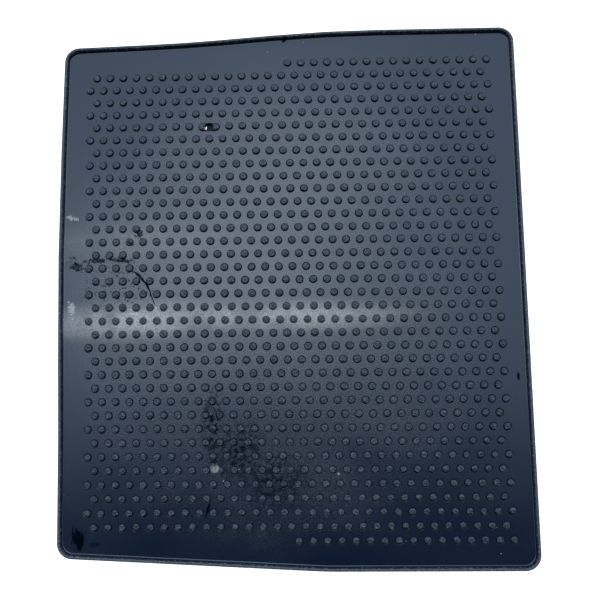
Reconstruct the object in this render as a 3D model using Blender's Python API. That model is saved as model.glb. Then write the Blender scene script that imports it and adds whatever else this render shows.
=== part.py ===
"""Snowboard stomp pad: a moulded rubber grip pad, its adhesive sheet and a split release liner.

Metres, +Z up. The pad lies flat with its tread up. The origin is under the middle of its
outline, on the face it rests on. +X points at the pad's square side, away from the two holes.
"""

import math

import bmesh
import bpy
from mathutils import Vector
from mathutils.geometry import delaunay_2d_cdt

# The layers, from the ground up. A gap keeps each layer's mesh clear of the next.
LAYER_GAP = 0.0003
LINER_THICKNESS = 0.00015
ADHESIVE_THICKNESS = 0.0008
FLOOR_THICKNESS = 0.0018
RIM_HEIGHT = 0.0015

# The outline's corners: across, along and the radius that rounds each. Half of the pad has
# straight edges, the half with the holes narrows towards its own side, and that side is bowed.
# The moulding is about one degree out of square.
CORNER_RADIUS = 0.005
OUTLINE = (
    (0.07535, 0.08860, CORNER_RADIUS),
    (0.01245, 0.08860, 0.5),
    (-0.03605, 0.08515, 0.6),
    (-0.07630, 0.08395, CORNER_RADIUS),
    (-0.07700, 0.01200, 1.6),
    (-0.07500, -0.04505, 1.5),
    (-0.07430, -0.08410, CORNER_RADIUS),
    (0.01040, -0.08850, 0.15),
    (0.07680, -0.08860, CORNER_RADIUS),
)
DEGREES_PER_CORNER_STEP = 12.0
LONGEST_ARC_STEP = 0.018

# The rim: a narrow flat top with an outer chamfer and an inner wall that slopes to the floor.
RIM_CHAMFER = 0.0003
RIM_TOP_INSET = 0.0008
RIM_FOOT_INSET = 0.0013

# The tread: staggered rows of nubs. Odd rows sit half a pitch over and hold one nub less,
# the first and last rows cover only the straight half, and the columns lean with the moulding.
NUB_PITCH = 0.00447
ROW_PITCH = 0.977 * NUB_PITCH
ROWS = 37
NUBS_PER_ROW = 31
FIRST_NUB_OF_SHORT_ROWS = 15
TREAD_LEFT = -0.06655
TREAD_TOP = 0.07795
COLUMN_LEAN = -0.0164
NUB_HEIGHT = 0.0006
NUB_SIDE = 0.0025

# The two holes near the narrow side. A long boss joins the nubs beside the first one.
HOLE_DIAMETER = 0.0030
TOP_HOLE = (-0.02725, 0.05585)
BOTTOM_HOLE = (-0.02500, -0.05675)
BOSS_LENGTH = 0.0071
BOSS_WIDTH = 0.0026
BOSS_SINK = 0.0006

# The adhesive is die-cut a little inside the pad. It lies slightly turned, so that its hole
# and the pad's meet at the bottom and are out of line at the top. At the top the same punch
# went through the liner too.
ADHESIVE_INSET = 0.0020
ADHESIVE_HOLE_DIAMETER = 0.0034
ADHESIVE_TOP_HOLE = (-0.02985, 0.05635)
ADHESIVE_BOTTOM_HOLE = BOTTOM_HOLE

# The liner is a little wider than the adhesive, and it is slit into two pieces. Each piece
# folds back about a line just outside its outer edge.
LINER_INSET = 0.0012
SLIT_X = -0.0252
SLIT_WIDTH = 0.0003
FOLD_LINE_X = 0.0757

LINER_TOP = LINER_THICKNESS
ADHESIVE_BOTTOM = LINER_TOP + LAYER_GAP
ADHESIVE_TOP = ADHESIVE_BOTTOM + ADHESIVE_THICKNESS
PAD_BOTTOM = ADHESIVE_TOP + LAYER_GAP
FLOOR_TOP = PAD_BOTTOM + FLOOR_THICKNESS
RIM_TOP = FLOOR_TOP + RIM_HEIGHT
NUB_TOP = FLOOR_TOP + NUB_HEIGHT
HOLE_SIDES = 24
CUTTER_OVERRUN = 0.001
SHARP_DEGREES = 30.0
WELD = 1e-6
INSIDE_LOOPS = 1


def material(name, colour, roughness):
    made = bpy.data.materials.new(name)
    made.use_nodes = True
    shader = made.node_tree.nodes["Principled BSDF"]
    shader.inputs["Base Color"].default_value = (*colour, 1.0)
    shader.inputs["Roughness"].default_value = roughness
    shader.inputs["Metallic"].default_value = 0.0
    return made


def add_object(name, mesh_builder, surface=None):
    mesh = bpy.data.meshes.new(name)
    mesh_builder.to_mesh(mesh)
    mesh_builder.free()
    made = bpy.data.objects.new(name, mesh)
    bpy.context.scene.collection.objects.link(made)
    if surface:
        mesh.materials.append(surface)
    return made


def rounded_outline(corners):
    """Points round the outline, counterclockwise, with each corner turned into an arc."""
    points = []
    count = len(corners)
    for index, (x, y, radius) in enumerate(corners):
        corner = Vector((x, y))
        back = (Vector(corners[index - 1][:2]) - corner).normalized()
        ahead = (Vector(corners[(index + 1) % count][:2]) - corner).normalized()
        turn = math.pi - back.angle(ahead)
        tangent = radius * math.tan(turn / 2)
        start = corner + back * tangent
        end = corner + ahead * tangent
        steps = max(
            math.ceil(math.degrees(turn) / DEGREES_PER_CORNER_STEP),
            math.ceil(radius * turn / LONGEST_ARC_STEP),
            2,
        )
        middle = (start + end) / 2
        towards_centre = (middle - corner).normalized()
        centre = corner + towards_centre * (radius / math.cos(turn / 2))
        first = start - centre
        sweep = first.angle_signed(end - centre)
        for step in range(steps + 1):
            angle = -sweep * step / steps
            spoke = Vector((
                first.x * math.cos(angle) - first.y * math.sin(angle),
                first.x * math.sin(angle) + first.y * math.cos(angle),
            ))
            points.append(centre + spoke)
    return points


def inset(points, distance):
    """The same outline moved inwards by a distance, point by point."""
    moved = []
    count = len(points)
    for index, point in enumerate(points):
        along = points[(index + 1) % count] - points[index - 1]
        inwards = Vector((-along.y, along.x)).normalized()
        moved.append(point + inwards * distance)
    return moved


def ring(builder, points, height):
    return [builder.verts.new((point.x, point.y, height)) for point in points]


def wall(builder, lower, upper):
    """Quads between two rings of equal length, facing away from their inside."""
    count = len(lower)
    for index in range(count):
        after = (index + 1) % count
        builder.faces.new((lower[index], lower[after], upper[after], upper[index]))


def slab(points, bottom, top):
    """A flat plate with this outline."""
    builder = bmesh.new()
    lower = ring(builder, points, bottom)
    upper = ring(builder, points, top)
    wall(builder, lower, upper)
    builder.faces.new(lower[::-1])
    builder.faces.new(upper)
    return builder


def nub_centres():
    for row in range(ROWS):
        odd = row % 2
        short = row in (0, ROWS - 1)
        first = FIRST_NUB_OF_SHORT_ROWS if short else 0
        for column in range(first, NUBS_PER_ROW - odd):
            y = TREAD_TOP - row * ROW_PITCH
            yield Vector((TREAD_LEFT + (column + odd / 2) * NUB_PITCH + COLUMN_LEAN * y, y))


def beside_top_hole(centre):
    return (centre - Vector(TOP_HOLE)).length < BOSS_LENGTH / 2


def tread_floor(builder, foot_points, centres):
    """The floor inside the rim's foot, with a four-sided nub at each centre. Returns the foot."""
    half = NUB_SIDE / 2
    corners = [Vector((x, y)) for x, y in ((-half, -half), (half, -half), (half, half), (-half, half))]
    flat = list(foot_points)
    loops = [list(range(len(foot_points)))]
    for centre in centres:
        loops.append([len(flat) + step for step in range(len(corners))])
        flat.extend(centre + corner for corner in corners)
    points, _, triangles, sources, _, owners = delaunay_2d_cdt(flat, [], loops, INSIDE_LOOPS, WELD)
    made = [builder.verts.new((point.x, point.y, FLOOR_TOP)) for point in points]
    placed = {source: made[index] for index, given in enumerate(sources) for source in given}
    for triangle, owner in zip(triangles, owners):
        if owner == [0]:
            builder.faces.new([made[index] for index in triangle])
    for centre, loop in zip(centres, loops[1:]):
        peak = builder.verts.new((centre.x, centre.y, NUB_TOP))
        for step, index in enumerate(loop):
            builder.faces.new((placed[index], placed[loop[step - len(loop) + 1]], peak))
    return [placed[index] for index in loops[0]]


def boolean(target, operation, helper):
    helper.hide_render = True
    helper.display_type = "WIRE"
    modifier = target.modifiers.new(helper.name, "BOOLEAN")
    modifier.operation = operation
    modifier.solver = "EXACT"
    modifier.object = helper


def circle(centre, radius):
    spokes = (2 * math.pi * side / HOLE_SIDES for side in range(HOLE_SIDES))
    return [Vector(centre) + Vector((math.cos(angle), math.sin(angle))) * radius for angle in spokes]


def punch(name, centre, diameter, bottom, top):
    """A round cutter that passes right through from below one height to above another."""
    outline = circle(centre, diameter / 2)
    return add_object(name, slab(outline, bottom - CUTTER_OVERRUN, top + CUTTER_OVERRUN))


def boss():
    """The long raised boss, sunk into the floor so that the two join cleanly."""
    reach = Vector(((BOSS_LENGTH - BOSS_WIDTH) / 2, 0.0))
    outline = [
        point + (reach if point.x > TOP_HOLE[0] else -reach)
        for point in circle(TOP_HOLE, BOSS_WIDTH / 2)
    ]
    return add_object("boss", slab(outline, FLOOR_TOP - BOSS_SINK, NUB_TOP))


def grip_pad(surface):
    outline = rounded_outline(OUTLINE)
    builder = bmesh.new()
    base = ring(builder, outline, PAD_BOTTOM)
    shoulder = ring(builder, outline, RIM_TOP - RIM_CHAMFER)
    crest = ring(builder, inset(outline, RIM_CHAMFER), RIM_TOP)
    brink = ring(builder, inset(outline, RIM_TOP_INSET), RIM_TOP)
    centres = [centre for centre in nub_centres() if not beside_top_hole(centre)]
    foot = tread_floor(builder, inset(outline, RIM_FOOT_INSET), centres)
    for lower, upper in ((base, shoulder), (shoulder, crest), (crest, brink), (brink, foot)):
        wall(builder, lower, upper)
    builder.faces.new(base[::-1])
    made = add_object("grip_pad", builder, surface)
    made.data.shade_smooth()
    made.data.set_sharp_from_angle(angle=math.radians(SHARP_DEGREES))
    boolean(made, "UNION", boss())
    for name, centre in (("top_hole", TOP_HOLE), ("bottom_hole", BOTTOM_HOLE)):
        boolean(made, "DIFFERENCE", punch(name, centre, HOLE_DIAMETER, PAD_BOTTOM, RIM_TOP))


def adhesive_sheet(surface):
    outline = inset(rounded_outline(OUTLINE), ADHESIVE_INSET)
    made = add_object("adhesive_sheet", slab(outline, ADHESIVE_BOTTOM, ADHESIVE_TOP), surface)
    for name, centre in (
        ("adhesive_top_hole", ADHESIVE_TOP_HOLE),
        ("adhesive_bottom_hole", ADHESIVE_BOTTOM_HOLE),
    ):
        cutter = punch(name, centre, ADHESIVE_HOLE_DIAMETER, ADHESIVE_BOTTOM, ADHESIVE_TOP)
        boolean(made, "DIFFERENCE", cutter)


def side_of_slit(outline, keep_left):
    """The part of the outline on one side of the slit, closed along the slit's edge."""
    sign = -1.0 if keep_left else 1.0
    edge = SLIT_X + sign * SLIT_WIDTH / 2
    kept = []
    for index, point in enumerate(outline):
        before = outline[index - 1]
        if (before.x - edge) * (point.x - edge) < 0:
            kept.append(before.lerp(point, (edge - before.x) / (point.x - before.x)))
        if (point.x - edge) * sign > 0:
            kept.append(point)
    return kept


def release_liner(name, keep_left, surface):
    """One piece of the liner. Its parent empty is on the line that it folds back about."""
    fold = bpy.data.objects.new(name + "_fold_line", None)
    fold.location = (-FOLD_LINE_X if keep_left else FOLD_LINE_X, 0.0, LINER_THICKNESS / 2)
    bpy.context.scene.collection.objects.link(fold)
    outline = side_of_slit(inset(rounded_outline(OUTLINE), LINER_INSET), keep_left)
    made = add_object(name, slab(outline, 0.0, LINER_TOP), surface)
    if keep_left:
        cutter = punch("liner_hole", ADHESIVE_TOP_HOLE, ADHESIVE_HOLE_DIAMETER, 0.0, LINER_TOP)
        boolean(made, "DIFFERENCE", cutter)
    made.parent = fold
    made.matrix_parent_inverse.translation = -fold.location


def clear_scene():
    for old in list(bpy.data.objects):
        bpy.data.objects.remove(old, do_unlink=True)


def main():
    clear_scene()
    grip_pad(material("navy_black_rubber", (0.018, 0.023, 0.032), 0.55))
    adhesive_sheet(material("black_foam_adhesive", (0.03, 0.03, 0.032), 0.7))
    paper = material("silicone_paper", (0.72, 0.72, 0.68), 0.5)
    release_liner("release_liner_left", True, paper)
    release_liner("release_liner_right", False, paper)


main()
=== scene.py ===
"""Looks of the snowboard stomp pad: a rubber grip pad, its foam adhesive and a split paper liner.

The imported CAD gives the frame. The grip pad is made again here with round, slightly uneven
nubs and a moulded rim, and the adhesive and the two liner pieces get real edges and surfaces.
Metres, +Z up, with the tread facing up.
"""

import functools
import math
import random
import types

import bpy
from mathutils import Matrix, Vector, noise
from mathutils.geometry import delaunay_2d_cdt


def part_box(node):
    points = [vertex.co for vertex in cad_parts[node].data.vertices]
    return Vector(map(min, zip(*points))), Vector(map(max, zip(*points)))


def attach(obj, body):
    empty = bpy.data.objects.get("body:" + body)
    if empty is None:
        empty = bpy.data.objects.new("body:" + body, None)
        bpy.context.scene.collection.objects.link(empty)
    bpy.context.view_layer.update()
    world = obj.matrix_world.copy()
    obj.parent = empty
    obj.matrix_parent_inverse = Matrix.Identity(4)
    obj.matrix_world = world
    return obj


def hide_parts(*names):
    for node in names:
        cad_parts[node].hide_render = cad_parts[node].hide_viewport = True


MM = 0.001

# The pad's outline, as in the CAD model: each corner and the radius that rounds it.
CORNER_RADIUS = 5.0 * MM
OUTLINE = (
    (0.07535, 0.08860, CORNER_RADIUS),
    (0.01245, 0.08860, 0.5),
    (-0.03605, 0.08515, 0.6),
    (-0.07630, 0.08395, CORNER_RADIUS),
    (-0.07700, 0.01200, 1.6),
    (-0.07500, -0.04505, 1.5),
    (-0.07430, -0.08410, CORNER_RADIUS),
    (0.01040, -0.08850, 0.15),
    (0.07680, -0.08860, CORNER_RADIUS),
)
DEGREES_PER_CORNER_STEP = 6.0
LONGEST_STEP = 2.6 * MM

# Heights above the tread's floor and the layers' insets, as in the CAD model. The slit is
# drawn narrower than there, and the foam and the paper get finer edges.
RIM_HEIGHT = 1.5 * MM
NUB_HEIGHT = 0.6 * MM
ADHESIVE_INSET = 2.0 * MM
LINER_INSET = 1.2 * MM
SLIT_X = -25.2 * MM
SLIT_WIDTH = 0.14 * MM
FOAM_PINCH = 0.12 * MM
FOAM_PINCH_HEIGHT = 0.15 * MM
FOAM_OVER_LINER = 0.02 * MM
FOAM_UNDER_PAD = 0.01 * MM
PAPER_BURR = 0.02 * MM

# The rim's section from its foot inside the pad over the crest to the outer wall:
# how far in from the outline, and how high above the floor of the tread.
RIM_SECTION = (
    (1.72 * MM, 0.00 * MM),
    (1.52 * MM, 0.03 * MM),
    (1.36 * MM, 0.13 * MM),
    (1.26 * MM, 0.34 * MM),
    (1.10 * MM, 0.92 * MM),
    (0.98 * MM, 1.22 * MM),
    (0.80 * MM, 1.41 * MM),
    (0.56 * MM, 1.49 * MM),
    (0.30 * MM, 1.50 * MM),
    (0.12 * MM, 1.44 * MM),
    (0.02 * MM, 1.32 * MM),
    (0.00 * MM, 1.12 * MM),
)

# The tread, as in the CAD model.
NUB_PITCH = 4.47 * MM
ROW_PITCH = 0.977 * NUB_PITCH
ROWS = 37
NUBS_PER_ROW = 31
FIRST_NUB_OF_SHORT_ROWS = 15
TREAD_LEFT = -66.55 * MM
TREAD_TOP = 77.95 * MM
COLUMN_LEAN = -0.0164

# A nub's section, from the edge of the small groove round its foot to the edge of its low
# dome: radius, height.
NUB_SECTION = (
    (1.45 * MM, 0.00 * MM),
    (1.35 * MM, -0.06 * MM),
    (1.26 * MM, 0.05 * MM),
    (1.19 * MM, 0.38 * MM),
    (1.07 * MM, 0.52 * MM),
    (0.88 * MM, 0.585 * MM),
)
# Rings of points start at the lower left, as the cells' loops do.
LOWER_LEFT = math.radians(225)
NUB_SIDES = 12
NUB_CORE_RADIUS = 0.5 * MM
NUB_SIZE_SPREAD = 0.03
NUB_OVAL = 0.03
NUB_SHIFT = 0.04 * MM
NUB_RISE = 0.035 * MM
NUB_TILT = 0.035
NICK = 0.035 * MM
LUMP = 0.03 * MM

# The two holes, and the boss that joins the two nubs beside the top one.
HOLE_DIAMETER = 3.0 * MM
HOLE_SIDES = 40
TOP_HOLE = Vector((-27.25 * MM, 55.85 * MM))
BOTTOM_HOLE = Vector((-25.00 * MM, -56.75 * MM))
BOSS_ROW = 5
BOSS_COLUMNS = (8, 9)
BOSS_HALF_REACH = 2.25 * MM
BOSS_SIDES = 36
# The adhesive's top hole doesn't line up with the rubber's. The left liner has it too.
ADHESIVE_HOLE_DIAMETER = 3.4 * MM
ADHESIVE_TOP_HOLE = Vector((-30.0 * MM, 56.35 * MM))

# A crack in the floor of the tread, from its upper end down: along, up and half its width, in
# millimetres.
CRACK = (
    (-52.60, 7.10, 0.07),
    (-51.40, 6.75, 0.26),
    (-50.50, 6.00, 0.56),
    (-49.85, 5.45, 0.44),
    (-49.00, 4.50, 0.52),
    (-48.40, 3.60, 0.30),
    (-47.50, 2.65, 0.40),
    (-47.00, 1.50, 0.33),
    (-46.45, 0.40, 0.20),
    (-46.20, -0.90, 0.25),
    (-45.55, -2.00, 0.14),
    (-45.10, -3.30, 0.19),
    (-44.60, -4.40, 0.06),
)
CRACK_DEPTH = 0.7 * MM
# Where half the width is less than this, the crack is shallower too.
CRACK_FULL_DEPTH_FROM = 0.2 * MM
CRACK_CUTTER_LIFT = 0.25 * MM

# How the moulding is less than perfect: broad swells of the floor and an uneven rim.
SWELL_HEIGHT = 0.06 * MM
SWELL_LENGTH = 30 * MM
SWELL_STRETCH = 0.35
RIM_WAVE = 0.05 * MM
RIM_WAVE_LENGTH = 9 * MM
RIM_DIP = 0.6

# Points of the plain margin: how far apart, from which share of a square of that size to
# which, and how far from the nubs' cells and the rim.
BAND_POINT_SPACING = 3.2 * MM
BAND_POINT_PLACES = (0.3, 0.7)
BAND_POINT_CLEARANCE = 0.45 * BAND_POINT_SPACING

# An edge that turns more than this is drawn sharp.
SHARP_DEGREES = 50.0
# A point this close to the swelling floor is on it, and a face this upright belongs to it.
FLOOR_TOLERANCE = 0.004 * MM
FLOOR_LEAST_UPRIGHT = 0.6
# The triangulation's output type that keeps only what is inside the loops.
INSIDE_LOOPS = 1
# The triangulation joins points that are closer than this.
WELD = 1e-7
SEED = 7

# The camera of the photograph, found from the rows of nubs.
CAMERA_PLACE = Vector((0.00860, -0.03671, 0.26176))
CAMERA_FORWARD = Vector((-0.02248, 0.12885, -0.99141))
CAMERA_UP = Vector((0.01241, 0.99162, 0.12860))
LENS_MM = 48.0
SENSOR_MM = 36.0
CLIP_START = 0.01

# The studio floor, and the sky and window over it. Under the lower hole the floor is painted dark,
# a painted shade, within an oval of these radii in millimetres.
STAGE_HALF = 3.0
STAGE_DROP = 0.1 * MM
SHADE_UNDER_HOLE = (10.0, 10.0)
WINDOW_COLOUR = (0.84, 0.92, 1.0)
NORTH_SKY = (1.26, 1.66, 2.16, 1.0)
SOUTH_SKY = (0.025, 0.036, 0.05, 1.0)
LOW_SKY = (0.30, 0.38, 0.47, 1.0)

RUBBER_NAVY = (0.0008, 0.0055, 0.0175, 1.0)
# Pale dust and wear, also the colour of the painted glints and of the painted highlight on the
# rim's crest.
PALE_WEAR_AND_HIGHLIGHT = (0.19, 0.175, 0.15, 1.0)


def rounded_outline(corners):
    """Points round the outline, counterclockwise, with each corner turned into an arc."""
    points = []
    count = len(corners)
    for index, (x, y, radius) in enumerate(corners):
        corner = Vector((x, y))
        back = (Vector(corners[index - 1][:2]) - corner).normalized()
        ahead = (Vector(corners[(index + 1) % count][:2]) - corner).normalized()
        turn = math.pi - back.angle(ahead)
        tangent = radius * math.tan(turn / 2)
        start = corner + back * tangent
        end = corner + ahead * tangent
        steps = max(math.ceil(math.degrees(turn) / DEGREES_PER_CORNER_STEP), 2)
        towards_centre = ((start + end) / 2 - corner).normalized()
        centre = corner + towards_centre * (radius / math.cos(turn / 2))
        first = start - centre
        sweep = -first.angle_signed(end - centre)
        for step in range(steps + 1):
            turned = Matrix.Rotation(sweep * step / steps, 2) @ first
            points.append(centre + turned)
    return points


def densified(points, longest):
    """The same loop with extra points, so that no edge is longer than this."""
    dense = []
    for index, point in enumerate(points):
        after = points[(index + 1) % len(points)]
        pieces = math.ceil((after - point).length / longest)
        dense.extend(point.lerp(after, piece / pieces) for piece in range(pieces))
    return dense


def inwards(points):
    """The direction into the outline at each of its points."""
    directions = []
    for index in range(len(points)):
        along = points[(index + 1) % len(points)] - points[index - 1]
        directions.append(Vector((-along.y, along.x)).normalized())
    return directions


def inset(points, distance):
    """The same outline moved inwards by a distance."""
    return [point + way * distance for point, way in zip(points, inwards(points))]


class Skin:
    """A mesh in the making: its points, and faces that index them."""

    def __init__(self):
        self.points = []
        self.faces = []

    def add(self, points):
        """Adds points and returns their indices."""
        first = len(self.points)
        self.points.extend(Vector(point) for point in points)
        return list(range(first, len(self.points)))

    def band(self, outer, inner):
        """Faces between two loops. Seen from above, the outer one is counterclockwise."""
        if len(outer) == len(inner):
            for index in range(len(outer)):
                after = (index + 1) % len(outer)
                self.faces.append((outer[index], outer[after], inner[after], inner[index]))
            return
        done_out = 0
        done_in = 0
        while done_out < len(outer) or done_in < len(inner):
            next_out = outer[(done_out + 1) % len(outer)]
            next_in = inner[(done_in + 1) % len(inner)]
            here_out = outer[done_out % len(outer)]
            here_in = inner[done_in % len(inner)]
            out_share = (done_out + 0.5) / len(outer)
            in_share = (done_in + 0.5) / len(inner)
            if done_out < len(outer) and out_share <= in_share:
                self.faces.append((here_out, next_out, here_in))
                done_out += 1
            else:
                self.faces.append((here_out, next_in, here_in))
                done_in += 1

    def object(self, name):
        mesh = bpy.data.meshes.new(name)
        mesh.from_pydata([point[:] for point in self.points], [], self.faces)
        mesh.validate()
        made = bpy.data.objects.new(name, mesh)
        bpy.context.scene.collection.objects.link(made)
        return made


def swell(x, y):
    """How far the moulding's surface rises or dips at a place."""
    place = Vector((x / SWELL_LENGTH * SWELL_STRETCH, y / SWELL_LENGTH, 0.0))
    return SWELL_HEIGHT * noise.noise(place + Vector((3.1, 7.7, 0.4)))


def on_floor(point, height=0.0):
    return (point.x, point.y, floor_top + swell(point.x, point.y) + height)


def lattice_point(quarter_columns, y):
    return Vector((TREAD_LEFT + quarter_columns * NUB_PITCH / 4 + COLUMN_LEAN * y, y))


class Tread:
    """The brick pattern of cells that the nubs stand on. Neighbours share their points."""

    def __init__(self, skin):
        self.skin = skin
        self.known = {}
        self.edges = {}

    def vertex(self, quarter_columns, third_rows):
        key = (quarter_columns, third_rows)
        if key not in self.known:
            y = TREAD_TOP + ROW_PITCH / 2 - third_rows * ROW_PITCH / 3
            point = lattice_point(quarter_columns, y)
            self.known[key] = self.skin.add([on_floor(point)])[0]
        return self.known[key]

    def cell(self, left, right, row):
        """A cell's loop of points, counterclockwise from its lower left corner."""
        top = row * 3
        bottom = top + 3
        loop = [self.vertex(column, bottom) for column in range(left, right)]
        loop += [self.vertex(right, bottom - step) for step in range(3)]
        loop += [self.vertex(column, top) for column in range(right, left, -1)]
        loop += [self.vertex(left, top + step) for step in range(3)]
        for index, start in enumerate(loop):
            self.edges[start, loop[(index + 1) % len(loop)]] = True
        return loop

    def outer_loop(self):
        """The loop round all the cells, from the edges that only one cell has."""
        follows = {a: b for a, b in self.edges if (b, a) not in self.edges}
        start = next(iter(follows))
        loop = [start]
        while follows[loop[-1]] != start:
            loop.append(follows[loop[-1]])
        return loop


def nub_places():
    """The row and column of each nub."""
    for row in range(ROWS):
        short = row in (0, ROWS - 1)
        for column in range(FIRST_NUB_OF_SHORT_ROWS if short else 0, NUBS_PER_ROW - row % 2):
            yield row, column


def spoke(turns, length):
    """A step of this length from a centre, these turns on from the lower left."""
    angle = LOWER_LEFT + 2 * math.pi * turns
    return Vector((math.cos(angle), math.sin(angle))) * length


class Nub:
    """One moulded nub, with what is uneven about it."""

    def __init__(self, centre, dice):
        self.dice = dice
        self.size = 1 + dice.uniform(-NUB_SIZE_SPREAD, NUB_SIZE_SPREAD)
        self.oval = dice.uniform(0, NUB_OVAL)
        self.oval_angle = dice.uniform(0, math.pi)
        shift = (dice.uniform(-NUB_SHIFT, NUB_SHIFT), dice.uniform(-NUB_SHIFT, NUB_SHIFT))
        self.centre = centre
        self.shift = Vector(shift)
        self.tilt = Vector((dice.gauss(0, NUB_TILT), dice.gauss(0, NUB_TILT)))
        self.rise = dice.uniform(-NUB_RISE, NUB_RISE)

    def ring(self, radius, height):
        """Points round the nub. They get more uneven with height."""
        share = height / NUB_HEIGHT
        nick = NICK * share ** 3
        points = []
        for side in range(NUB_SIDES):
            angle = LOWER_LEFT + 2 * math.pi * side / NUB_SIDES
            reach = radius * self.size * (1 + self.oval * math.cos(2 * (angle - self.oval_angle)))
            step = spoke(side / NUB_SIDES, reach + self.dice.uniform(-nick, nick))
            lift = share * (self.rise + step.dot(self.tilt)) + self.dice.uniform(-nick, nick)
            points.append(on_floor(self.centre + self.shift * share + step, height + lift))
        return points

    def core(self):
        """Points of a smaller, lumpier ring on the top, half as many as in the others."""
        points = []
        for side in range(NUB_SIDES // 2):
            step = spoke(2 * (side + 0.25) / NUB_SIDES, NUB_CORE_RADIUS)
            level = NUB_HEIGHT + self.rise + step.dot(self.tilt) + self.dice.uniform(-LUMP, LUMP)
            points.append(on_floor(self.centre + self.shift + step, level))
        return points

    def peak(self):
        level = NUB_HEIGHT + self.rise + self.dice.uniform(-LUMP, LUMP)
        return on_floor(self.centre + self.shift, level)


def add_nub(skin, cell, nub):
    """A foot in a groove, a steep wall, an edge rounded by wear and a lumpy, slightly domed top.
    """
    outer = cell
    for radius, height in NUB_SECTION:
        inner = skin.add(nub.ring(radius, height))
        skin.band(outer, inner)
        outer = inner
    core = skin.add(nub.core())
    for side in range(len(core)):
        after = (side + 1) % len(core)
        near, middle = outer[2 * side], outer[2 * side + 1]
        far = outer[(2 * side + 2) % NUB_SIDES]
        skin.faces.append((near, middle, core[side]))
        skin.faces.append((middle, far, core[after], core[side]))
    peak = skin.add([nub.peak()])[0]
    for side in range(len(core)):
        skin.faces.append((core[side], core[(side + 1) % len(core)], peak))


def capsule(centre, radius):
    """Points round the boss, counterclockwise, starting at its lower left."""
    points = []
    for side in range(BOSS_SIDES):
        step = spoke((side + 0.5) / BOSS_SIDES, radius)
        step.x += math.copysign(BOSS_HALF_REACH, step.x)
        points.append(centre + step)
    return points


def add_boss(skin, cell, centre):
    outer = cell
    for radius, height in NUB_SECTION:
        inner = skin.add(on_floor(point, height) for point in capsule(centre, radius))
        skin.band(outer, inner)
        outer = inner
    skin.faces.append(tuple(outer))


def add_tread(skin):
    """All the nubs and the boss. Returns the loop of points round them."""
    tread = Tread(skin)
    dice = random.Random(SEED)
    for row, column in nub_places():
        middle = 4 * column + 2 * (row % 2)
        if row == BOSS_ROW and column == BOSS_COLUMNS[0]:
            cell = tread.cell(middle - 2, middle + 6, row)
            add_boss(skin, cell, TOP_HOLE)
        elif row != BOSS_ROW or column != BOSS_COLUMNS[1]:
            cell = tread.cell(middle - 2, middle + 2, row)
            centre = lattice_point(middle, TREAD_TOP - row * ROW_PITCH)
            add_nub(skin, cell, Nub(centre, dice))
    return tread.outer_loop()


def rim_wave(point, channel):
    place = Vector((point.x, point.y, 0.0)) / RIM_WAVE_LENGTH
    return RIM_WAVE * noise.noise(place + Vector((0.0, 0.0, 5.0 * channel)))


def add_rim(skin, outline, bottom):
    """The rim, the outer wall and the flat underside. Returns the loop at the rim's foot."""
    ways = inwards(outline)
    outer = None
    foot = None
    for distance, height in RIM_SECTION:
        share = height / RIM_HEIGHT
        inner_share = distance / RIM_SECTION[0][0]
        points = []
        for point, way in zip(outline, ways):
            place = point + way * (distance + inner_share * rim_wave(point, 1))
            level = height + share * (rim_wave(point, 2) - RIM_WAVE) * RIM_DIP
            level += (1 - share) * swell(place.x, place.y)
            points.append((place.x, place.y, floor_top + level))
        ring = skin.add(points)
        if foot is None:
            foot = ring
        else:
            skin.band(ring, outer)
        outer = ring
    base = skin.add((point.x, point.y, bottom) for point in outline)
    skin.band(base, outer)
    skin.faces.append(tuple(reversed(base)))
    return foot


def band_points(foot, tread_loop, dice):
    """Scattered points between the rim's foot and the nubs, away from both."""
    fence = [point.xy for point in foot] + [point.xy for point in tread_loop]
    low_x = min(point.x for point in foot)
    low_y = min(point.y for point in foot)
    high_x = max(point.x for point in foot)
    high_y = max(point.y for point in foot)
    found = []
    for row in range(math.ceil((high_y - low_y) / BAND_POINT_SPACING)):
        for column in range(math.ceil((high_x - low_x) / BAND_POINT_SPACING)):
            x = low_x + (column + dice.uniform(*BAND_POINT_PLACES)) * BAND_POINT_SPACING
            y = low_y + (row + dice.uniform(*BAND_POINT_PLACES)) * BAND_POINT_SPACING
            point = Vector((x, y))
            if min((point - post).length for post in fence) > BAND_POINT_CLEARANCE:
                found.append(point)
    return found


def add_margin(skin, foot, tread_loop):
    """The plain floor between the nubs and the rim."""
    foot_points = [skin.points[index] for index in foot]
    loop_points = [skin.points[index] for index in tread_loop]
    given = [point.xy for point in foot_points + loop_points]
    given += band_points(foot_points, loop_points, random.Random(SEED + 1))
    loops = [
        list(range(len(foot))),
        list(range(len(foot), len(foot) + len(tread_loop))),
    ]
    points, _, faces, sources, _, owners = delaunay_2d_cdt(given, [], loops, INSIDE_LOOPS, WELD)
    known = dict(enumerate(foot + tread_loop))
    index_of = []
    for point, given_by in zip(points, sources):
        fixed = [known[source] for source in given_by if source in known]
        index_of.append(fixed[0] if fixed else None)
    used = {corner for face, owner in zip(faces, owners) if owner == [0] for corner in face}
    for place in used:
        if index_of[place] is None:
            index_of[place] = skin.add([on_floor(points[place])])[0]
    for face, owner in zip(faces, owners):
        if owner == [0]:
            skin.faces.append(tuple(index_of[corner] for corner in face))


def circle(centre, radius, sides):
    spokes = (2 * math.pi * side / sides for side in range(sides))
    return [centre + Vector((math.cos(angle), math.sin(angle))) * radius for angle in spokes]


def slab(outline, levels):
    """A closed plate whose edge runs through these levels: distance inwards, height."""
    skin = Skin()
    below = None
    first = None
    for distance, height in levels:
        moved = inset(outline, distance)
        ring = skin.add((point.x, point.y, height) for point in moved)
        if below is None:
            first = ring
        else:
            skin.band(below, ring)
        below = ring
    skin.faces.append(tuple(reversed(first)))
    skin.faces.append(tuple(below))
    return skin


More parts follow.
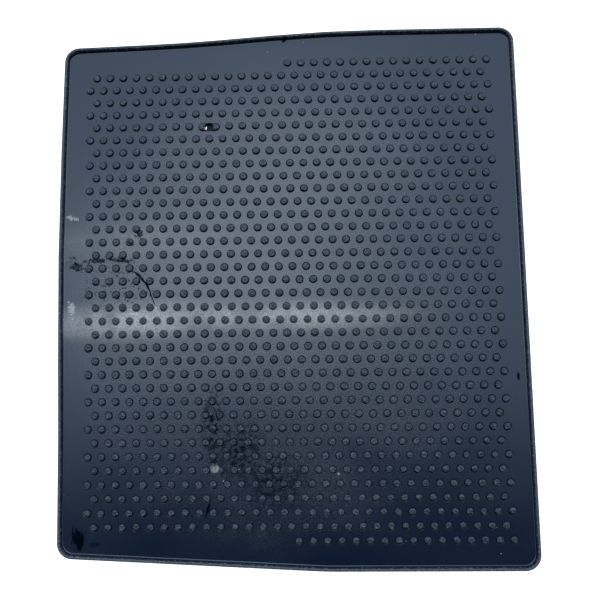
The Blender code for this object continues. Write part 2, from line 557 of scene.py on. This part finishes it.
def subtract(target, cutter):
    """Cuts one closed mesh out of another and keeps nothing of the cutter."""
    modifier = target.modifiers.new("cut", "BOOLEAN")
    modifier.operation = "DIFFERENCE"
    modifier.solver = "MANIFOLD"
    modifier.object = cutter
    bpy.context.view_layer.update()
    evaluated = target.evaluated_get(bpy.context.evaluated_depsgraph_get())
    finished = bpy.data.meshes.new_from_object(evaluated)
    target.modifiers.clear()
    target.data = finished
    bpy.data.objects.remove(cutter, do_unlink=True)


def cut(target, centre, diameter, bottom, top):
    """Cuts a round hole right through."""
    outline = circle(centre, diameter / 2, HOLE_SIDES)
    subtract(target, slab(outline, ((0.0, bottom - MM), (0.0, top + MM))).object("cutter"))


def crack_cutter():
    """A wedge that follows the crack. Its lower edge wanders a little."""
    skin = Skin()
    dice = random.Random(SEED + 2)
    places = [Vector((x, y)) * MM for x, y, _ in CRACK]
    sections = []
    for index, place in enumerate(places):
        ahead = places[min(index + 1, len(places) - 1)] - places[max(index - 1, 0)]
        across = Vector((-ahead.y, ahead.x)).normalized()
        half = CRACK[index][2] * MM
        depth = CRACK_DEPTH * min(1.0, half / CRACK_FULL_DEPTH_FROM)
        reach = half * (depth + CRACK_CUTTER_LIFT) / depth
        left = place + across * reach
        right = place - across * reach
        deepest = place + across * half * dice.uniform(-0.5, 0.5)
        sections.append(skin.add((
            (left.x, left.y, floor_top + CRACK_CUTTER_LIFT),
            (deepest.x, deepest.y, floor_top - depth),
            (right.x, right.y, floor_top + CRACK_CUTTER_LIFT),
        )))
    for upper, lower in zip(sections, sections[1:]):
        skin.band(lower, upper)
    skin.faces.append(tuple(sections[0]))
    skin.faces.append(tuple(reversed(sections[-1])))
    return skin.object("cutter")


def finish_surface(made, material):
    """Gives a piece its one material, smooth faces and sharp edges where they turn a lot."""
    made.data.materials.clear()
    made.data.materials.append(material)
    made.data.shade_smooth()
    made.data.set_sharp_from_angle(angle=math.radians(SHARP_DEGREES))


def swell_normal(x, y):
    step = 0.5 * MM
    slope_x = (swell(x + step, y) - swell(x - step, y)) / (2 * step)
    slope_y = (swell(x, y + step) - swell(x, y - step)) / (2 * step)
    return Vector((-slope_x, -slope_y, 1.0)).normalized()


def smooth_floor_normals(mesh):
    """Gives the floor its own normals, so that the nubs' fillets don't shade it."""
    normals = [corner.vector.copy() for corner in mesh.corner_normals]
    known = {}
    for vertex in mesh.vertices:
        x, y, z = vertex.co
        if abs(z - floor_top - swell(x, y)) < FLOOR_TOLERANCE:
            known[vertex.index] = swell_normal(x, y)
    for face in mesh.polygons:
        if face.normal.z > FLOOR_LEAST_UPRIGHT:
            for corner in face.loop_indices:
                vertex = mesh.loops[corner].vertex_index
                normals[corner] = known.get(vertex, normals[corner])
    mesh.normals_split_custom_set(normals)


def make_pad(outline, bottom, top):
    skin = Skin()
    foot = add_rim(skin, outline, bottom)
    tread_loop = add_tread(skin)
    add_margin(skin, foot, tread_loop)
    made = skin.object("rubber_pad")
    cut(made, TOP_HOLE, HOLE_DIAMETER, bottom, top)
    cut(made, BOTTOM_HOLE, HOLE_DIAMETER, bottom, top)
    subtract(made, crack_cutter())
    return made


def make_adhesive(outline, bottom, top):
    """The foam sheet. A die pressed its edge in a little, and the foam bulges between."""
    levels = (
        (ADHESIVE_INSET + FOAM_PINCH, bottom),
        (ADHESIVE_INSET + 0.3 * FOAM_PINCH, bottom + FOAM_PINCH_HEIGHT),
        (ADHESIVE_INSET, (bottom + top) / 2),
        (ADHESIVE_INSET + 0.3 * FOAM_PINCH, top - FOAM_PINCH_HEIGHT),
        (ADHESIVE_INSET + FOAM_PINCH, top),
    )
    made = slab(outline, levels).object("foam_adhesive")
    cut(made, ADHESIVE_TOP_HOLE, ADHESIVE_HOLE_DIAMETER, bottom, top)
    cut(made, BOTTOM_HOLE, ADHESIVE_HOLE_DIAMETER, bottom, top)
    return made


def side_of_slit(outline, sign):
    """The part of the outline on one side of the slit, closed along the slit's edge."""
    edge = SLIT_X + sign * SLIT_WIDTH / 2
    kept = []
    for index, point in enumerate(outline):
        before = outline[index - 1]
        if (before.x - edge) * (point.x - edge) < 0:
            kept.append(before.lerp(point, (edge - before.x) / (point.x - before.x)))
        if (point.x - edge) * sign > 0:
            kept.append(point)
    return kept


def make_liner(name, outline, sign, bottom, top):
    """The paper on one side of the slit. The left piece is punched at the adhesive's top hole."""
    half = densified(side_of_slit(inset(outline, LINER_INSET), sign), LONGEST_STEP)
    levels = (
        (PAPER_BURR, bottom),
        (0.0, bottom + PAPER_BURR),
        (0.0, top - PAPER_BURR),
        (PAPER_BURR, top),
    )
    made = slab(half, levels).object(name)
    if sign < 0:
        cut(made, ADHESIVE_TOP_HOLE, ADHESIVE_HOLE_DIAMETER, bottom, top)
    return made


class Nodes:
    """A node tree, with short ways to add the plain kinds of node."""

    def __init__(self, tree):
        self.tree = tree

    def feed(self, socket, value):
        """Links a node's output to a socket, or sets the socket to a plain value."""
        if isinstance(value, bpy.types.NodeSocket):
            self.tree.links.new(value, socket)
        else:
            socket.default_value = value

    def maths(self, operation, first, second=0.0):
        made = self.tree.nodes.new("ShaderNodeMath")
        made.operation = operation
        self.feed(made.inputs[0], first)
        self.feed(made.inputs[1], second)
        return made.outputs[0]

    def product(self, *values):
        return functools.reduce(functools.partial(self.maths, "MULTIPLY"), values)

    def total(self, *values):
        return functools.reduce(functools.partial(self.maths, "ADD"), values)

    def strongest(self, *values):
        return functools.reduce(functools.partial(self.maths, "MAXIMUM"), values)

    def step(self, value, low, high, to_low=0.0, to_high=1.0):
        """A smooth step from one value to another as the input goes from low to high."""
        made = self.tree.nodes.new("ShaderNodeMapRange")
        made.interpolation_type = "SMOOTHSTEP"
        self.feed(made.inputs["Value"], value)
        made.inputs["From Min"].default_value = low
        made.inputs["From Max"].default_value = high
        made.inputs["To Min"].default_value = to_low
        made.inputs["To Max"].default_value = to_high
        return made.outputs["Result"]

    def mix(self, share, first, second):
        """One colour turning into another."""
        made = self.tree.nodes.new("ShaderNodeMix")
        made.data_type = "RGBA"
        self.feed(made.inputs["Factor"], share)
        for name, value in (("A", first), ("B", second)):
            socket = next(s for s in made.inputs if s.name == name and s.type == "RGBA")
            self.feed(socket, value)
        return next(s for s in made.outputs if s.type == "RGBA")


class Recipe(Nodes):
    """A material's nodes, with short ways to add the patterns that the surfaces here need."""

    def __init__(self, name, roughness, ior):
        self.material = bpy.data.materials.new(name)
        self.material.use_nodes = True
        super().__init__(self.material.node_tree)
        self.shader = self.tree.nodes["Principled BSDF"]
        self.shader.inputs["Roughness"].default_value = roughness
        self.shader.inputs["IOR"].default_value = ior
        self.place = self.tree.nodes.new("ShaderNodeTexCoord").outputs["Object"]

    def stretched(self, scale):
        """The place in the object, scaled by a factor along each axis."""
        made = self.tree.nodes.new("ShaderNodeMapping")
        self.feed(made.inputs["Vector"], self.place)
        made.inputs["Scale"].default_value = scale
        return made.outputs[0]

    def noise(self, size, detail=2.0, roughness=0.5, stretch=(1.0, 1.0, 1.0)):
        """Smooth noise from 0 to 1 whose largest lumps are about this size."""
        made = self.tree.nodes.new("ShaderNodeTexNoise")
        made.inputs["Scale"].default_value = 1.0 / size
        made.inputs["Detail"].default_value = detail
        made.inputs["Roughness"].default_value = roughness
        self.feed(made.inputs["Vector"], self.stretched(stretch))
        return made.outputs["Fac"]

    def height(self):
        made = self.tree.nodes.new("ShaderNodeSeparateXYZ")
        self.feed(made.inputs[0], self.place)
        return made.outputs["Z"]

    def reach(self, centre, radii, turn=0.0):
        """How far a place is from an oval's centre: 1 on the oval, 0 at its centre."""
        made = self.tree.nodes.new("ShaderNodeMapping")
        made.vector_type = "TEXTURE"
        self.feed(made.inputs["Vector"], self.place)
        made.inputs["Location"].default_value = (centre[0] * MM, centre[1] * MM, 0.0)
        made.inputs["Rotation"].default_value = (0.0, 0.0, math.radians(turn))
        made.inputs["Scale"].default_value = (radii[0] * MM, radii[1] * MM, 1.0)
        measure = self.tree.nodes.new("ShaderNodeVectorMath")
        measure.operation = "LENGTH"
        self.feed(measure.inputs[0], made.outputs[0])
        return measure.outputs["Value"]

    def blot(self, centre, radii, ragged, turn=0.0, raggedness=0.9):
        """An oval mark with a ragged edge, in millimetres."""
        edge = self.maths("MULTIPLY_ADD", ragged, raggedness)
        edge.node.inputs[2].default_value = -raggedness / 2
        return self.step(self.total(self.reach(centre, radii, turn), edge), 1.0, 0.55)

    def glow(self, centre, radii, strength, turn=0.0):
        """An oval that fades out softly from its centre, in millimetres."""
        return self.step(self.reach(centre, radii, turn), 1.0, 0.0, 0.0, strength)

    def specks(self, spacing, size, share):
        """Scattered round specks: one in some of the cells of a random pattern."""
        made = self.tree.nodes.new("ShaderNodeTexVoronoi")
        made.inputs["Scale"].default_value = 1.0 / spacing
        self.feed(made.inputs["Vector"], self.stretched((1.0, 1.0, 0.001)))
        near = self.step(made.outputs["Distance"], size / spacing, 0.5 * size / spacing)
        apart = self.tree.nodes.new("ShaderNodeSeparateColor")
        self.feed(apart.inputs[0], made.outputs["Color"])
        chosen = self.maths("GREATER_THAN", apart.outputs[0], 1.0 - share)
        return self.product(near, chosen, apart.outputs[1])

    def bump(self, *layers):
        """Stacks height fields, each with the depth it reaches in metres."""
        normal = None
        for height, depth in layers:
            made = self.tree.nodes.new("ShaderNodeBump")
            made.inputs["Strength"].default_value = 1.0
            made.inputs["Distance"].default_value = depth
            self.feed(made.inputs["Height"], height)
            if normal:
                self.feed(made.inputs["Normal"], normal)
            normal = made.outputs["Normal"]
        self.feed(self.shader.inputs["Normal"], normal)


def rubber_material():
    """Navy-black moulded rubber, polished on the floor, scuffed on the nubs, a little dusty. Its
    colour also holds painted glints on the nub tops, a painted highlight on the rim's crest and a
    painted shadow by the lower hole.
    """
    recipe = Recipe("worn_rubber", roughness=0.35, ior=1.5)
    look = rubber_patterns(recipe)
    sockets = recipe.shader.inputs
    recipe.feed(sockets["Base Color"], rubber_colour(recipe, look))
    # Metal at a black colour reflects next to nothing, which mutes the shine of the marks.
    muted = recipe.strongest(recipe.product(look.grime, 0.92), recipe.product(look.polish, 0.6))
    recipe.feed(sockets["Metallic"], muted)
    recipe.feed(sockets["Roughness"], rubber_roughness(recipe, look))
    recipe.bump(
        (recipe.product(look.grain, recipe.step(look.trodden, 0.0, 1.0, 0.25, 1.0)), 0.022 * MM),
        (look.ragged, 0.012 * MM),
        (recipe.product(look.blotches, look.raised), 0.42 * MM),
        (look.grime, -0.04 * MM),
    )
    return recipe.material


def rubber_patterns(recipe):
    """Where things are on the rubber, as shares from 0 to 1, and the noises that break them up."""
    look = types.SimpleNamespace()
    height = recipe.height()
    look.raised = recipe.step(height, floor_top + 0.55 * NUB_HEIGHT, floor_top + 0.9 * NUB_HEIGHT)
    look.crest = recipe.step(height, floor_top + 0.80 * RIM_HEIGHT, floor_top + 0.95 * RIM_HEIGHT)
    look.ragged = recipe.noise(0.9 * MM, detail=4.0, roughness=0.6)
    look.grain = recipe.noise(0.38 * MM, detail=3.0, roughness=0.7)
    look.blotches = recipe.noise(0.8 * MM, detail=3.0, roughness=0.65)
    look.broad = recipe.noise(16 * MM, detail=3.0, stretch=(0.6, 1.0, 1.0))
    look.trodden = recipe.step(recipe.reach((-4.0, -6.0), (74.0, 84.0)), 1.0, 0.8)
    look.grime = dark_marks(recipe, look.ragged)
    look.polish = glossy_marks_and_hole_shadow(recipe, look.ragged)
    grainy_pale = recipe.step(look.grain, 0.42, 0.60, 0.25, 1.3)
    look.chalk = recipe.product(pale_marks(recipe, look.ragged), grainy_pale)
    look.haze = recipe.product(
        pale_floor_bands(recipe),
        recipe.step(look.ragged, 0.25, 0.6, 0.55, 1.0),
        recipe.step(recipe.noise(11 * MM, detail=3.0, roughness=0.6), 0.36, 0.6, 0.45, 1.1),
        recipe.maths("SUBTRACT", 1.0, look.raised),
    )
    look.dust = recipe.specks(5.5 * MM, 0.19 * MM, 0.6)
    look.crumbs = recipe.product(recipe.specks(2.1 * MM, 0.13 * MM, 0.35), look.trodden)
    return look


def rubber_colour(recipe, look):
    """Layers of wear over the navy, some of them painted light and shade: a share of each, and its
    colour.
    """
    uneven = recipe.step(look.broad, 0.3, 0.7, 0.05, 0.22)
    dusty = recipe.product(recipe.step(look.grain, 0.42, 0.68), look.trodden, uneven)
    grainy_pale = recipe.product(look.haze, recipe.step(look.grain, 0.35, 0.7, 0.4, 1.0))
    # Partly wear and partly painted glints: pale patches on the nub tops.
    worn_and_glints = recipe.product(look.raised, recipe.step(look.blotches, 0.52, 0.65, 0.02, 0.45))
    layers = (
        (dusty, PALE_WEAR_AND_HIGHLIGHT),
        (grainy_pale, (0.48, 0.42, 0.35, 1.0)),
        (worn_and_glints, PALE_WEAR_AND_HIGHLIGHT),
        # Painted highlight: the rim's crest is made paler all round.
        (recipe.product(look.crest, 0.22), PALE_WEAR_AND_HIGHLIGHT),
        (recipe.product(look.grime, 0.85), (0.002, 0.003, 0.005, 1.0)),
        # The polished marks, with a painted shadow along the lower hole's north edge.
        (recipe.product(look.polish, 0.7), (0.001, 0.003, 0.008, 1.0)),
        (look.chalk, (0.62, 0.58, 0.52, 1.0)),
        (recipe.maths("MINIMUM", look.dust, 0.8), (0.60, 0.58, 0.55, 1.0)),
        (recipe.product(look.crumbs, 0.6), (0.42, 0.41, 0.38, 1.0)),
    )
    colour = RUBBER_NAVY
    for share, layer in layers:
        colour = recipe.mix(share, colour, layer)
    return colour


def rubber_roughness(recipe, look):
    """Shiniest on the floor and where it was rubbed smooth, dull under grime and chalk."""
    rough = recipe.total(
        recipe.step(look.broad, 0.3, 0.7, 0.19, 0.23),
        recipe.product(look.raised, recipe.step(look.blotches, 0.3, 0.7, 0.0, 0.09)),
        recipe.product(look.grime, 0.4),
        recipe.product(recipe.strongest(look.chalk, look.dust), 0.3),
        recipe.product(look.polish, -0.15),
    )
    return recipe.maths("MINIMUM", rough, 0.95)


def dark_marks(recipe, ragged):
    """Matt grime: smears and pits near the bowed side, and nicks by the edges."""
    pits = recipe.step(recipe.noise(0.9 * MM, detail=4.0, roughness=0.65), 0.58, 0.63)
    broken = recipe.step(recipe.noise(0.6 * MM, detail=4.0, roughness=0.7), 0.42, 0.52)
    smears = recipe.strongest(
        recipe.blot((-71.0, 8.8), (2.6, 1.3), ragged, -20.0, 3.2),
        recipe.blot((-72.0, 11.8), (1.2, 0.7), ragged, 0.0, 3.0),
        recipe.blot((-64.6, 10.6), (4.4, 0.8), ragged, 3.0, 3.0),
        recipe.blot((-56.2, 10.8), (4.0, 0.8), ragged, -6.0, 3.2),
        recipe.blot((-53.2, 16.4), (1.3, 0.5), ragged, -35.0, 2.4),
        recipe.blot((-50.2, 19.6), (1.6, 1.4), ragged, 0.0, 2.4),
    )
    return recipe.strongest(
        recipe.product(smears, recipe.total(recipe.product(broken, 0.8), 0.2)),
        recipe.blot((72.4, -28.7), (0.6, 1.6), ragged, 0.0, 1.2),
        recipe.blot((-1.9, 86.0), (1.4, 0.7), ragged, 40.0, 1.8),
        recipe.product(pits, recipe.glow((-57.0, 0.0), (17.0, 15.0), 0.8)),
    )


def glossy_marks_and_hole_shadow(recipe, ragged):
    """Places rubbed smooth, which look black: a corner patch and stains by the lower hole. Also a
    painted shadow along the lower hole's north edge.
    """
    strokes = recipe.noise(1.0 * MM, detail=3.0, roughness=0.6, stretch=(1.6, 0.45, 1.0))
    patches = recipe.step(recipe.noise(1.5 * MM, detail=4.0, roughness=0.7), 0.45, 0.57)
    stains = recipe.strongest(
        recipe.glow((-25.4, -42.0), (5.0, 17.0), 1.6),
        recipe.glow((-17.0, -51.0), (11.0, 13.0), 1.2),
        recipe.glow((-6.0, -60.0), (15.0, 14.0), 0.8),
    )
    return recipe.strongest(
        recipe.blot((-68.0, -78.4), (2.5, 3.7), strokes, 12.0, 1.9),
        recipe.product(recipe.blot((-62.9, -80.2), (2.0, 0.9), strokes, 0.0, 1.8), 0.35),
        # Painted shadow: a dark mark along the lower hole's north edge.
        recipe.blot((-25.2, -54.6), (1.6, 0.6), ragged, 0.0, 0.8),
        recipe.product(stains, patches),
        recipe.blot((-26.9, -69.4), (0.6, 2.9), ragged, -16.0, 1.0),
    )


def pale_marks(recipe, ragged):
    """Chalky scuffs and a few light crumbs."""
    marks = recipe.strongest(
        recipe.blot((-72.2, -5.2), (1.3, 2.9), ragged, 8.0, 3.4),
        recipe.blot((-72.6, 25.2), (2.0, 0.8), ragged, -20.0, 3.4),
        recipe.blot((-51.3, -7.0), (2.6, 0.6), ragged, -8.0, 2.8),
        recipe.blot((-44.3, -5.6), (0.4, 1.0), ragged, 0.0, 1.6),
        recipe.blot((14.5, -58.8), (0.5, 0.5), ragged, 0.0, 0.8),
    )
    return recipe.product(marks, 0.6)


def pale_floor_bands(recipe):
    """Pale bands across the floor, brightest towards the bowed side."""
    return recipe.strongest(
        recipe.glow((-52.0, -9.2), (46.0, 8.5), 0.95, 2.0),
        recipe.glow((-2.0, -8.4), (58.0, 7.0), 0.85),
        recipe.glow((-54.0, 17.5), (44.0, 9.0), 0.24),
    )


def foam_material():
    """Black closed-cell foam with open cells on its cut edge."""
    recipe = Recipe("black_foam", roughness=0.75, ior=1.45)
    cells = recipe.tree.nodes.new("ShaderNodeTexVoronoi")
    cells.inputs["Scale"].default_value = 1.0 / (0.22 * MM)
    recipe.feed(cells.inputs["Vector"], recipe.place)
    pores = cells.outputs["Distance"]
    cloud = recipe.noise(4 * MM, detail=3.0)
    base = recipe.mix(recipe.step(pores, 0.1, 0.6), (0.010, 0.010, 0.011, 1.0),
                      (0.038, 0.038, 0.040, 1.0))
    base = recipe.mix(recipe.product(cloud, 0.4), base, (0.022, 0.023, 0.026, 1.0))
    recipe.feed(recipe.shader.inputs["Base Color"], base)
    recipe.feed(recipe.shader.inputs["Roughness"], recipe.step(cloud, 0.3, 0.7, 0.65, 0.85))
    recipe.bump((pores, 0.05 * MM))
    return recipe.material


def paper_material():
    """Silicone-coated release paper: cream, fibrous, with a soft satin face."""
    recipe = Recipe("release_paper", roughness=0.42, ior=1.45)
    fibres = recipe.noise(0.5 * MM, detail=5.0, roughness=0.7, stretch=(1.0, 0.18, 1.0))
    mottle = recipe.noise(7 * MM, detail=4.0, roughness=0.6)
    flecks = recipe.specks(2.5 * MM, 0.12 * MM, 0.35)
    base = recipe.mix(fibres, (0.70, 0.71, 0.64, 1.0), (0.83, 0.83, 0.76, 1.0))
    base = recipe.mix(recipe.step(mottle, 0.35, 0.7, 0.0, 0.5), base, (0.78, 0.77, 0.68, 1.0))
    base = recipe.mix(recipe.product(flecks, 0.5), base, (0.48, 0.43, 0.34, 1.0))
    recipe.feed(recipe.shader.inputs["Base Color"], base)
    recipe.feed(recipe.shader.inputs["Roughness"], recipe.step(mottle, 0.3, 0.7, 0.38, 0.5))
    recipe.bump((fibres, 0.008 * MM), (mottle, 0.03 * MM))
    return recipe.material


def floor_material():
    """The studio's plain white floor, bright enough to lose its shadows as in the photograph, with
    a painted shade under the lower hole.
    """
    recipe = Recipe("studio_white", roughness=0.9, ior=1.4)
    recipe.shader.inputs["Emission Color"].default_value = (1.0, 1.0, 1.0, 1.0)
    # Painted shade: under the lower hole the floor is dark and has no glow, so the slit that shows
    # in that hole stays dark.
    slit_shade = recipe.reach(BOTTOM_HOLE / MM, SHADE_UNDER_HOLE)
    glow = recipe.step(slit_shade, 0.9, 1.1, 0.0, 0.95)
    bright = recipe.step(slit_shade, 0.9, 1.1)
    base = recipe.mix(bright, (0.02, 0.02, 0.02, 1.0), (0.86, 0.87, 0.88, 1.0))
    recipe.feed(recipe.shader.inputs["Base Color"], base)
    recipe.feed(recipe.shader.inputs["Emission Strength"], glow)
    return recipe.material


def add_stage():
    skin = Skin()
    corners = ((-1, -1), (1, -1), (1, 1), (-1, 1))
    places = [(x * STAGE_HALF, y * STAGE_HALF, -STAGE_DROP) for x, y in corners]
    skin.faces.append(tuple(skin.add(places)))
    floor = skin.object("studio_floor")
    floor.data.materials.append(floor_material())


def add_softbox(name, centre, size, radiance):
    """A rectangular light that faces straight down."""
    light = bpy.data.lights.new(name, "AREA")
    light.shape = "RECTANGLE"
    light.size = size[0]
    light.size_y = size[1]
    light.color = WINDOW_COLOUR
    light.energy = radiance * 4 * size[0] * size[1]
    made = bpy.data.objects.new(name, light)
    made.location = centre
    bpy.context.scene.collection.objects.link(made)


def add_lights():
    """Three panels of a window-like light, above and mostly north of the pad."""
    add_softbox("window", (-0.20, 0.185, 1.2), (0.44, 0.27), 3.0)
    add_softbox("window_far", (-0.03, 0.41, 1.2), (0.35, 0.22), 2.3)
    add_softbox("window_side", (0.10, 0.10, 1.2), (0.20, 0.14), 2.0)

def add_sky():
    """A room that is bright overhead to the north, dark to the south and grey low down."""
    world = bpy.data.worlds.new("studio")
    bpy.context.scene.world = world
    world.use_nodes = True
    nodes = Nodes(world.node_tree)
    parts = nodes.tree.nodes.new("ShaderNodeSeparateXYZ")
    direction = nodes.tree.nodes.new("ShaderNodeTexCoord").outputs["Generated"]
    nodes.feed(parts.inputs[0], direction)
    # The bright half of the sky reaches further south at the two sides.
    aside = nodes.maths("SUBTRACT", nodes.maths("ABSOLUTE", parts.outputs["X"]), 0.10)
    bowed = nodes.product(nodes.strongest(aside, 0.0), 0.35)
    north = nodes.total(parts.outputs["Y"], bowed)
    up = parts.outputs["Z"]
    in_north = nodes.mix(nodes.step(up, 0.1, 0.7), LOW_SKY, NORTH_SKY)
    in_south = nodes.mix(nodes.step(up, -0.05, 0.25), LOW_SKY, SOUTH_SKY)
    sky = nodes.mix(nodes.step(north, -0.10, 0.13), in_south, in_north)
    nodes.feed(nodes.tree.nodes["Background"].inputs["Color"], sky)


def add_camera():
    data = bpy.data.cameras.new("camera")
    data.sensor_width = SENSOR_MM
    data.lens = LENS_MM
    data.clip_start = CLIP_START
    camera = bpy.data.objects.new("camera", data)
    back = -CAMERA_FORWARD.normalized()
    right = CAMERA_UP.cross(back).normalized()
    up = back.cross(right)
    turn = Matrix((right, up, back)).transposed()
    camera.matrix_world = Matrix.Translation(CAMERA_PLACE) @ turn.to_4x4()
    bpy.context.scene.collection.objects.link(camera)
    bpy.context.scene.camera = camera


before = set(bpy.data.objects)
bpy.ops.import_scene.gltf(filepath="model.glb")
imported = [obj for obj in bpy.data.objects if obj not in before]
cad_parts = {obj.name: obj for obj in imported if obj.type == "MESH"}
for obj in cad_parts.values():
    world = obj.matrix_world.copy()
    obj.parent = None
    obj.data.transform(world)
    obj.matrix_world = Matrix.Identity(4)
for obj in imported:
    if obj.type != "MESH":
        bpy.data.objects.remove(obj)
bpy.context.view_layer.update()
pad_low, pad_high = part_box("grip_pad")
liner_low, liner_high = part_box("release_liner_left")
floor_top = pad_high.z - RIM_HEIGHT
outline = densified(rounded_outline(OUTLINE), LONGEST_STEP)

pad = make_pad(outline, pad_low.z, pad_high.z)
finish_surface(pad, rubber_material())
smooth_floor_normals(pad.data)
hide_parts("grip_pad")
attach(pad, "pad")

# The foam fills nearly all of the gaps that the CAD keeps between its layers.
foam = make_adhesive(outline, liner_high.z + FOAM_OVER_LINER, pad_low.z - FOAM_UNDER_PAD)
finish_surface(foam, foam_material())
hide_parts("adhesive_sheet")
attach(foam, "pad")

paper = paper_material()
for side, sign in (("left", -1.0), ("right", 1.0)):
    liner = make_liner("paper_liner_" + side, outline, sign, liner_low.z, liner_high.z)
    finish_surface(liner, paper)
    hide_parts("release_liner_" + side)
    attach(liner, "liner_" + side)

add_stage()
add_lights()
add_sky()
add_camera()
bpy.context.scene.view_settings.view_transform = "Standard"
